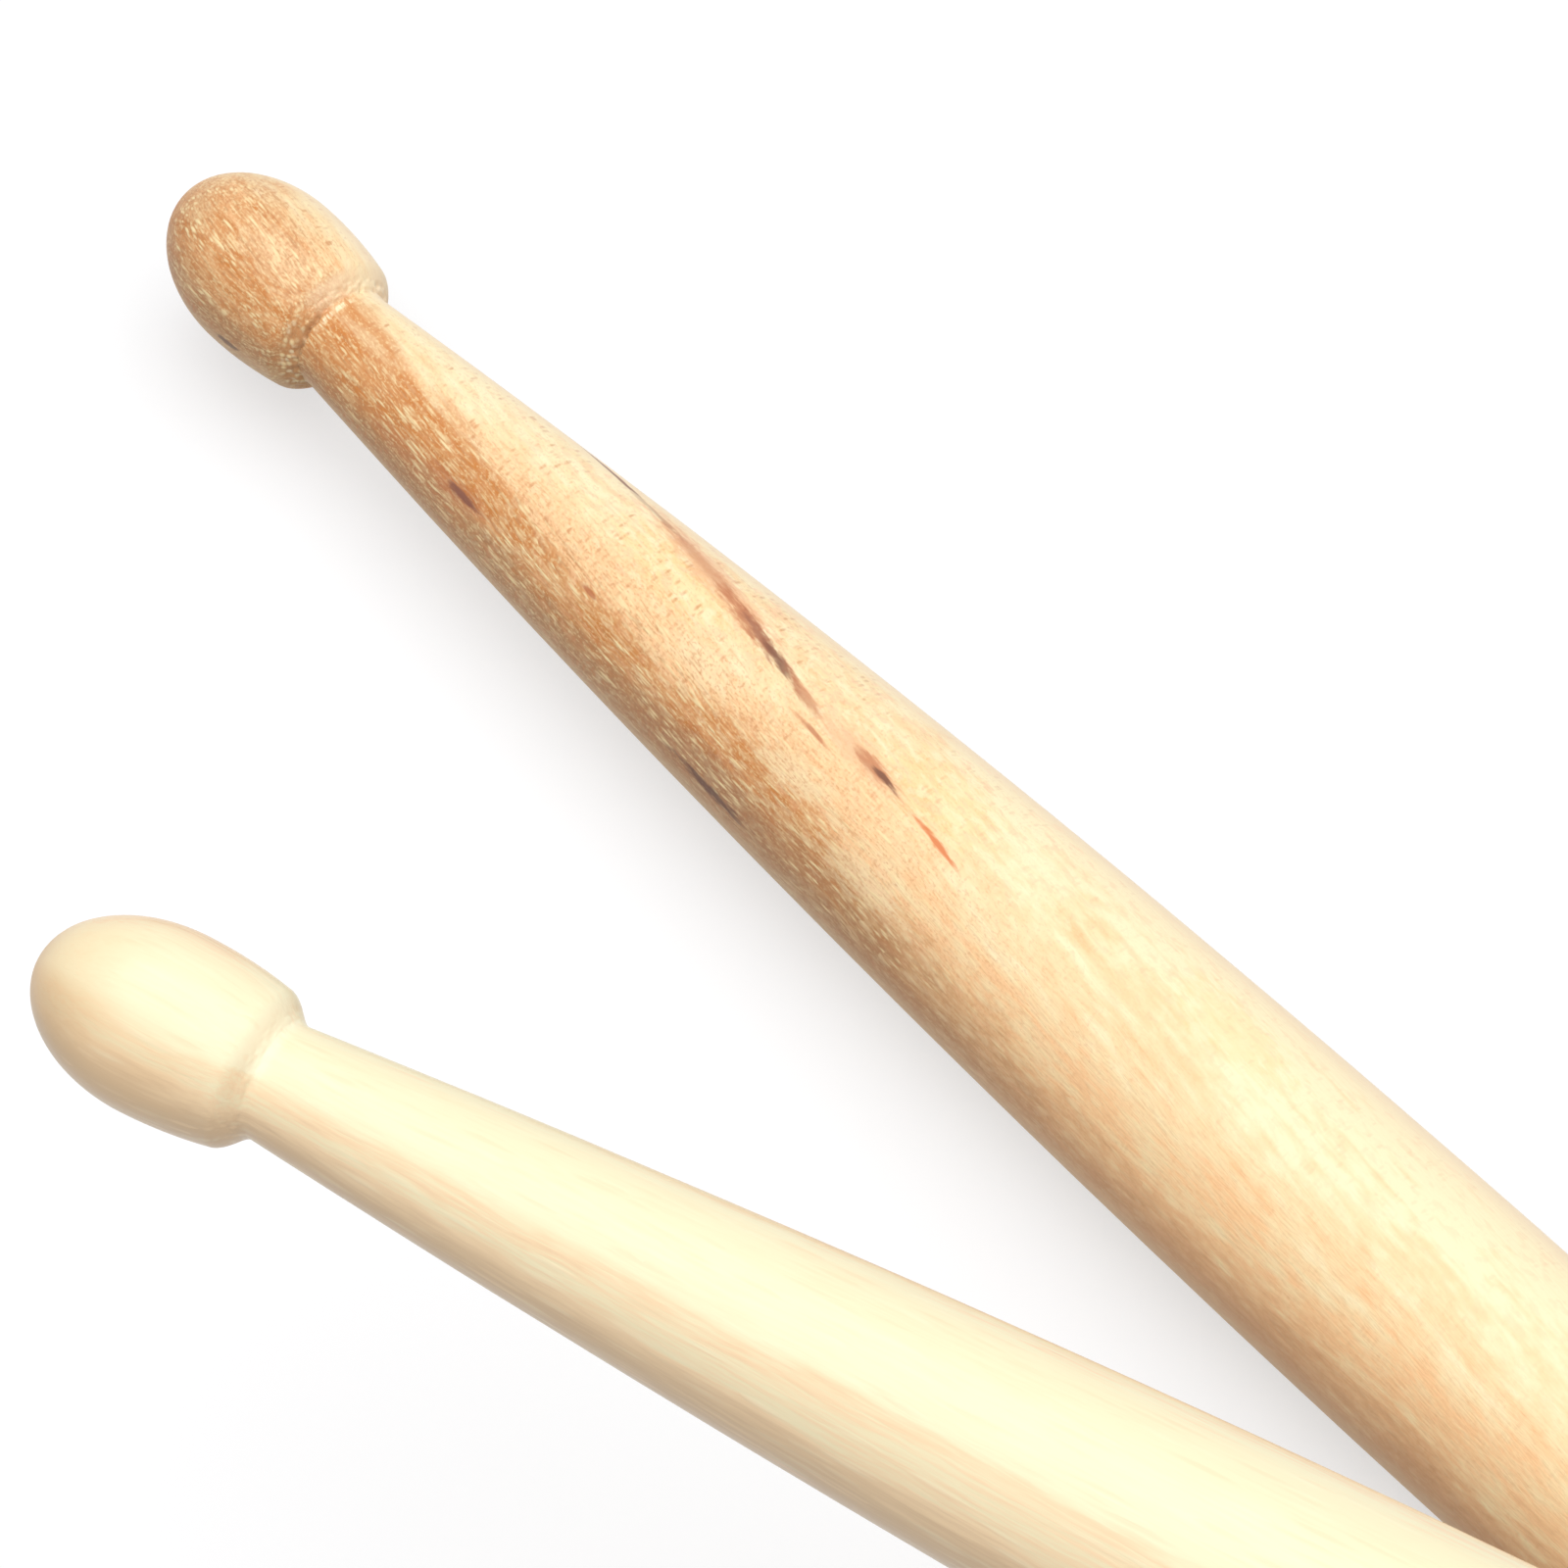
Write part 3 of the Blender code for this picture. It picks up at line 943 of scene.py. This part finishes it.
def tan_fibring(graph, colours, at, near, short_grained, fibres, colour):
    """Pale and dark fibres, rosy and cream mottles, and fine specks over a colour."""
    colour = graph.mix(graph.rise(fibres, LIGHT_FIBRES) * near, colour, colours.dash)
    dark_fibred = short_grained * DARK_FIBRES_MORE + DARK_FIBRES_LEAST
    dark_fibred = dark_fibred * graph.fall(at.distance, DARK_FIBRES_THIN)
    colour = graph.mix(graph.rise(fibres, DARK_FIBRES) * dark_fibred, colour, colours.shade)
    mottles = graph.shift(at.grain, MOTTLES)
    lit = (1.0 - short_grained * MOTTLES_LESS) * graph.rise(at.distance, MOTTLES_FROM) * near
    colour = graph.mix(graph.rise(mottles, ROSE_MOTTLES) * lit, colour, colours.rose)
    colour = graph.mix(graph.rise(mottles, CREAM_MOTTLES) * lit, colour, colours.cream)
    specks = graph.shift(at.grain, FINE_GRAIN)
    colour = graph.mix(graph.rise(specks, LIGHT_SPECKS) * near * near, colour, colours.dash)
    dark_specks = graph.rise(specks, DARK_SPECKS) * near * near
    dark_specks = dark_specks * (short_grained * DARK_SPECKS_MORE + DARK_SPECKS_LEAST)
    return graph.mix(dark_specks, colour, colours.russet)


def tan_sides(graph, colours, at, colour):
    """Peach and honey on the far side and brown and straw on the low one, over a colour: the peach is partly
    a painted glow on the far limb, the brown is painted shade on the low face and the nose, and the straw is
    painted light on the lowest limb.
    """
    # Peach on the far limb: partly the wood, partly a painted glow where that limb catches the light.
    colour = graph.mix(facing(graph, at.angle, TAN_FAR_PEACH_AND_GLOW), colour, colours.peach)
    back = facing(graph, at.angle, BACK) * graph.blots(at.grain, TAN_BACK)
    colour = graph.mix(back, colour, colours.honey)
    # Painted shade: brown on the low face and on the nose's low side.
    low_face_shade = facing(graph, at.angle, LOW_FACE_SHADE) * between(graph, at.distance, LOW_FACE_SHADE_FROM, LOW_FACE_SHADE_TO)
    nose_shade = facing(graph, at.angle, NOSE_SHADE) * graph.fall(at.distance, NOSE_SHADE_TO)
    colour = graph.mix(low_face_shade + nose_shade, colour, colours.brown)
    # Painted light: straw along the lowest limb, which faces the floor.
    return graph.mix(facing(graph, at.angle, LOW_LIMB_LIGHT), colour, colours.straw)


def ring_mask(graph, angle, from_place, ragged, ring):
    """A mark round part of the stick, at a place along it."""
    away = abs(from_place + ring.before + ragged * ring.ragged)
    return graph.fall(away, ring.width) * facing(graph, angle, ring.side)


def tan_step_foot(graph, colours, sizes, at, ragged, colour, height):
    """Painted sheen on the rim, torn grain with painted shade and glints, painted shade in the fine line at
    the foot of the step, and a pale line at the neck that is partly a painted highlight, over a colour.
    """
    from_line = at.distance - sizes.line_place * PER_METRE
    from_neck = at.distance - sizes.tip_length * PER_METRE
    # Painted sheen on the rim before the step.
    colour = graph.mix(ring_mask(graph, at.angle, from_line, ragged, STEP_SHEEN), colour, colours.peach)
    # Torn grain at the step's foot, with painted shade over it and painted glints on its beads.
    torn = ring_mask(graph, at.angle, from_line, ragged, TORN_SHADED_FOOT)
    colour = graph.mix(torn * TORN_SHADE, colour, colours.shade)
    for glinting_beads in BEAD_GLINTS:
        colour, height = lay_strokes(graph, colours, at.grain, glinting_beads, torn, colour, height)
    # Painted shade in the fine line at the foot of the step.
    colour = graph.mix(ring_mask(graph, at.angle, from_line, ragged, GROOVE_SHADE_LINE), colour, colours.brown)
    # Pale line at the neck: partly pale cut fibres, partly a painted highlight.
    cut_and_highlight_line = ring_mask(graph, at.angle, from_neck, ragged, CUT_AND_HIGHLIGHT_LINE) * graph.rise(ragged, CUT_AND_HIGHLIGHT_BREAKS)
    return graph.mix(cut_and_highlight_line, colour, colours.cream), height


def tan_wood(colours, sizes, place):
    """Flecked tan wood: an amber heart, pale dashes along the grain, russet flecks and mineral marks."""
    material = new_material("tan_wood")
    graph = Graph(material.node_tree)
    at = wood_places(graph, place, TAN_LEAN, TAN_WAVES)
    side = towards_heart(graph, at.angle)
    tip = graph.fall(at.distance, TAN_TIP)
    near = graph.fall(at.distance, DETAIL_THINS)
    cut_ends = end_grain(graph, place)
    ragged = graph.shift(at.grain, RAGGED_EDGES)
    short_grained = graph.rise(side + tip * TIP_SHORT_GRAINED, SHORT_GRAINED)
    fibres = graph.noise(at.grain, SHORT_FIBRES) * short_grained
    fibres = graph.noise(at.grain, LONG_FIBRES) * (1.0 - short_grained) + fibres - NOISE_MIDDLE

    colour = tan_ground(graph, colours, at, side, tip)
    colour = add_marks(graph, at, ragged * RAGGED_PATCHES, PATCHES, colour)
    colour = tan_fibring(graph, colours, at, near, short_grained, fibres, colour)
    patches = graph.rise(graph.noise(at.grain, TICK_PATCHES) + tip * TIP_TICKS, TICK_PATCHES.fade)
    ticked = graph.blots(at.grain, TICK_COLUMNS) * patches * graph.fall(at.distance, TICKS_THIN)
    colour, height = lay_strokes(graph, colours, at.grain, RAY_TICKS, ticked, colour, fibres)
    colour = tan_sides(graph, colours, at, colour)

    clumps = graph.blots(at.grain, CLUMPS) + CLUMPS_LEAST
    lined = (1.0 - short_grained) * near * clumps
    colour, height = lay_strokes(graph, colours, at.grain, LIT_LINES, lined, colour, height)
    flaked = short_grained * between(graph, at.distance, FLAKES_FROM, FLAKES_THIN)
    flaked = flaked * graph.fall(side, FLAKES_LOW_SIDE)
    colour, height = lay_strokes(graph, colours, at.grain, FLAKES, flaked, colour, height)
    lively = short_grained * graph.fall(side, DASHES_LOW_SIDE) * near * clumps * (1.0 - cut_ends)
    lively = lively * graph.fall(at.distance, DASHES_THIN)
    for dashes in TAN_DASHES:
        colour, height = lay_strokes(graph, colours, at.grain, dashes, lively, colour, height)

    colour = add_marks(graph, at, ragged * RAGGED_MARKS, MARKS, colour)
    colour, height = tan_step_foot(graph, colours, sizes, at, ragged, colour, height)
    colour = graph.mix(cut_ends * TAN_CUT_ENDS, colour, colours.tan)
    wood_shader(graph, colour, fibres, cut_ends, height, TAN_LACQUER)
    return material


def pale_ground(graph, colours, at, tip, fibres, banded, late_wood_below_sheen):
    """Cream wood with a broad growth band whose edge and upper cream are partly a painted sheen, and with
    painted shade low on one side and on the far limb.
    """
    low_side_and_shade = facing(graph, banded, PALE_LOW_SHADE) * (tip * LOW_SHADE_TIP_TONE + LOW_SHADE_TONE)
    # Painted shade along the far limb.
    far_limb_shade = facing(graph, banded, PALE_FAR_LIMB_SHADE) * graph.rise(at.distance, PALE_FAR_SHADE_FROM)
    far_limb_shade = facing(graph, banded, PALE_TIP_FAR_LIMB_SHADE) * tip + far_limb_shade
    back = facing(graph, at.angle, BACK) * (graph.noise(at.grain, PALE_BACK) - PALE_BACK_MIDDLE)
    tone = ground_tone(graph, at.grain, PALE_GROUND) + fibres * PALE_FIBRES.weight
    tone = tone + back * PALE_BACK.weight + late_wood_below_sheen * LATE_WOOD_BELOW_SHEEN_TONE + low_side_and_shade + far_limb_shade + PALE_TONE
    return graph.ramp(tone, zip(PALE_STOPS, (colours.cream, colours.straw, colours.peach, colours.tan)))


def pale_wood(colours, sizes, place):
    """Straight-grained pale wood: broad soft growth bands and fine long fibres, with a painted sheen above
    the band's edge, painted shade on its low side, far limb and lower edges, and painted light on the step.
    """
    material = new_material("pale_wood")
    graph = Graph(material.node_tree)
    at = wood_places(graph, place, PALE_LEAN, PALE_WAVES)
    tip = graph.fall(at.distance, PALE_TIP)
    nose = graph.fall(at.distance, PALE_NOSE)
    cut_ends = end_grain(graph, place)
    fibres = graph.noise(at.grain, PALE_FIBRES) - NOISE_MIDDLE
    waves = (graph.noise(at.grain, PALE_WAVES) - NOISE_MIDDLE) * BAND_WAVES + fibres * BAND_FIBRES
    banded = at.angle + waves
    # The band's edge is partly a painted sheen's edge.
    band_edge_start = LATE_WOOD_BELOW_SHEEN.start - tip * TIP_SPREAD.start
    band_edge_full = LATE_WOOD_BELOW_SHEEN.full + tip * TIP_SPREAD.full
    late_wood_below_sheen = facing(graph, banded, Side(LATE_WOOD_BELOW_SHEEN.degrees, band_edge_start, band_edge_full))

    colour = pale_ground(graph, colours, at, tip, fibres, banded, late_wood_below_sheen)
    colour = graph.mix(tip * late_wood_below_sheen * TIP_HONEY, colour, colours.honey)
    colour = graph.mix(nose * (late_wood_below_sheen * NOSE_LATE_HONEY + NOSE_HONEY), colour, colours.honey)
    # Painted shade along the lower edges of the shaft and the nose.
    low_edge_shade = facing(graph, at.angle, PALE_LOW_EDGE_SHADE) + facing(graph, at.angle, PALE_NOSE_EDGE_SHADE) * nose
    colour = graph.mix(low_edge_shade, colour, colours.shade)
    # Painted light on the step's upper side, against its shade.
    from_step = at.distance - sizes.tip_length * PER_METRE + PALE_STEP_LIGHT_BEFORE
    step = graph.fall(abs(from_step), PALE_STEP_LIGHT_WIDTH) * (1.0 - late_wood_below_sheen)
    colour = graph.mix(step * PALE_STEP_LIGHT_SHARE, colour, colours.dash)
    height = fibres * PALE_FIBRE_HEIGHT
    for dashes in PALE_DASHES:
        colour, height = lay_strokes(graph, colours, at.grain, dashes, 1.0 - nose, colour, height)
    colour = graph.mix(cut_ends * PALE_CUT_ENDS, colour, colours.tan)
    wood_shader(graph, colour, fibres, cut_ends, height, PALE_LACQUER)
    return material


def seen_rays(graph):
    """1 for the rays that show the floor and the room: from the camera, in a gloss or through glass."""
    names = ["Is Camera Ray", "Is Glossy Ray", "Is Transmission Ray"]
    camera, glossy, clear = graph.node("ShaderNodeLightPath", None, None, names)
    return graph.math("MAXIMUM", camera, graph.math("MAXIMUM", glossy, clear))


def floor_material(studio):
    """Pale floor that keeps its shadows, lifted to white for the camera."""
    material = new_material("pale_floor")
    graph = Graph(material.node_tree)
    seen = seen_rays(graph)
    lift = graph.mix(seen, BLACK, (studio.floor_lift,) * 3)
    colour = graph.mix(seen, studio.floor_bounce, studio.floor_colour)
    shader = graph.node("ShaderNodeBsdfPrincipled", None, {
        "Base Color": colour, "Roughness": FLOOR_ROUGHNESS, "Specular IOR Level": FLOOR_SHINE,
        "Emission Color": lift, "Emission Strength": 1.0})
    graph.node("ShaderNodeOutputMaterial", None, {"Surface": shader})
    return material


def light_room(studio):
    """White for the camera, and an even fill for everything else."""
    world = bpy.data.worlds.new("pale_room")
    world.use_nodes = True
    world.node_tree.nodes.clear()
    graph = Graph(world.node_tree)
    strength = studio.fill_strength + seen_rays(graph) * (1.0 - studio.fill_strength)
    background = graph.node("ShaderNodeBackground", None, {"Color": opaque(WHITE), "Strength": strength})
    graph.node("ShaderNodeOutputWorld", None, {"Surface": background})
    bpy.context.scene.world = world


class DRUMSTICKS_OT_tan_stick(bpy.types.Operator):
    """Turn the tan stick that lies on the floor"""

    bl_idname = "drumsticks.tan_stick"
    bl_label = "Tan Stick"

    def execute(self, context):
        sizes = context.scene.stick_sizes
        place = stick_place("under_butt_face", sizes.length)
        finish = tan_wood(context.scene.tan_wood, sizes, place)
        stick = turn_stick("tan_stick", sizes, place, TAN_SEED, TAN_TORN, finish)
        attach(stick, "under")
        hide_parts("under_stick")
        return {"FINISHED"}


class DRUMSTICKS_OT_pale_stick(bpy.types.Operator):
    """Turn the pale stick that lies across the tan one"""

    bl_idname = "drumsticks.pale_stick"
    bl_label = "Pale Stick"

    def execute(self, context):
        sizes = context.scene.stick_sizes
        place = stick_place("over_butt_face", sizes.length)
        finish = pale_wood(context.scene.pale_wood, sizes, place)
        stick = turn_stick("pale_stick", sizes, place, PALE_SEED, PALE_TORN, finish)
        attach(stick, "over")
        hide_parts("over_stick")
        return {"FINISHED"}


class DRUMSTICKS_OT_stage(bpy.types.Operator):
    """Lay the floor, hang the softbox and set up the camera"""

    bl_idname = "drumsticks.stage"
    bl_label = "Stage"

    def execute(self, context):
        studio = context.scene.studio
        ends = (-FLOOR_REACH, FLOOR_REACH)
        corners = [(x, y, -FLOOR_DROP) for y in ends for x in ends]
        mesh = bpy.data.meshes.new("floor")
        mesh.from_pydata(corners, [], [(0, 1, 3, 2)])
        mesh.materials.append(floor_material(studio))
        floor = bpy.data.objects.new("floor", mesh)
        context.scene.collection.objects.link(floor)

        lamp = bpy.data.lights.new("softbox", "SUN")
        lamp.angle = studio.softbox_spread
        lamp.energy = studio.softbox_strength
        softbox = bpy.data.objects.new("softbox", lamp)
        softbox.rotation_euler = SOFTBOX_TOWARDS.to_track_quat("Z", "Y").to_euler()
        context.scene.collection.objects.link(softbox)
        light_room(studio)

        camera = bpy.data.cameras.new("camera")
        camera.lens = studio.camera_lens
        camera.sensor_width = SENSOR_WIDTH
        view = bpy.data.objects.new("camera", camera)
        view.location = studio.camera_place
        view.rotation_euler = (math.pi / 2 - studio.camera_down, 0.0, studio.camera_heading - math.pi / 2)
        context.scene.collection.objects.link(view)
        context.scene.camera = view
        context.scene.view_settings.view_transform = "Standard"
        return {"FINISHED"}


class DRUMSTICKS_PT_panel(bpy.types.Panel):
    """Buttons for the sticks and the stage, with their sizes and colours"""

    bl_label = "Drumsticks"
    bl_space_type = "VIEW_3D"
    bl_region_type = "UI"
    bl_category = "Drumsticks"

    def draw(self, context):
        for operator in (DRUMSTICKS_OT_tan_stick, DRUMSTICKS_OT_pale_stick, DRUMSTICKS_OT_stage):
            self.layout.operator(operator.bl_idname)
        for name in GROUPS:
            group = getattr(context.scene, name)
            for prop in group.bl_rna.properties:
                if not prop.is_readonly and prop.identifier != "name":
                    self.layout.prop(group, prop.identifier)


GROUPS = {"stick_sizes": StickSizes, "tan_wood": TanWood, "pale_wood": PaleWood, "studio": Studio}
CLASSES = (*GROUPS.values(), DRUMSTICKS_OT_tan_stick, DRUMSTICKS_OT_pale_stick, DRUMSTICKS_OT_stage,
           DRUMSTICKS_PT_panel)


def register():
    for cls in CLASSES:
        bpy.utils.register_class(cls)
    for name, group in GROUPS.items():
        setattr(bpy.types.Scene, name, bpy.props.PointerProperty(type=group))


def unregister():
    for name in GROUPS:
        delattr(bpy.types.Scene, name)
    for cls in reversed(CLASSES):
        bpy.utils.unregister_class(cls)


def main():
    register()
    bpy.ops.drumsticks.tan_stick()
    bpy.ops.drumsticks.pale_stick()
    bpy.ops.drumsticks.stage()


if __name__ == "__main__":
    main()
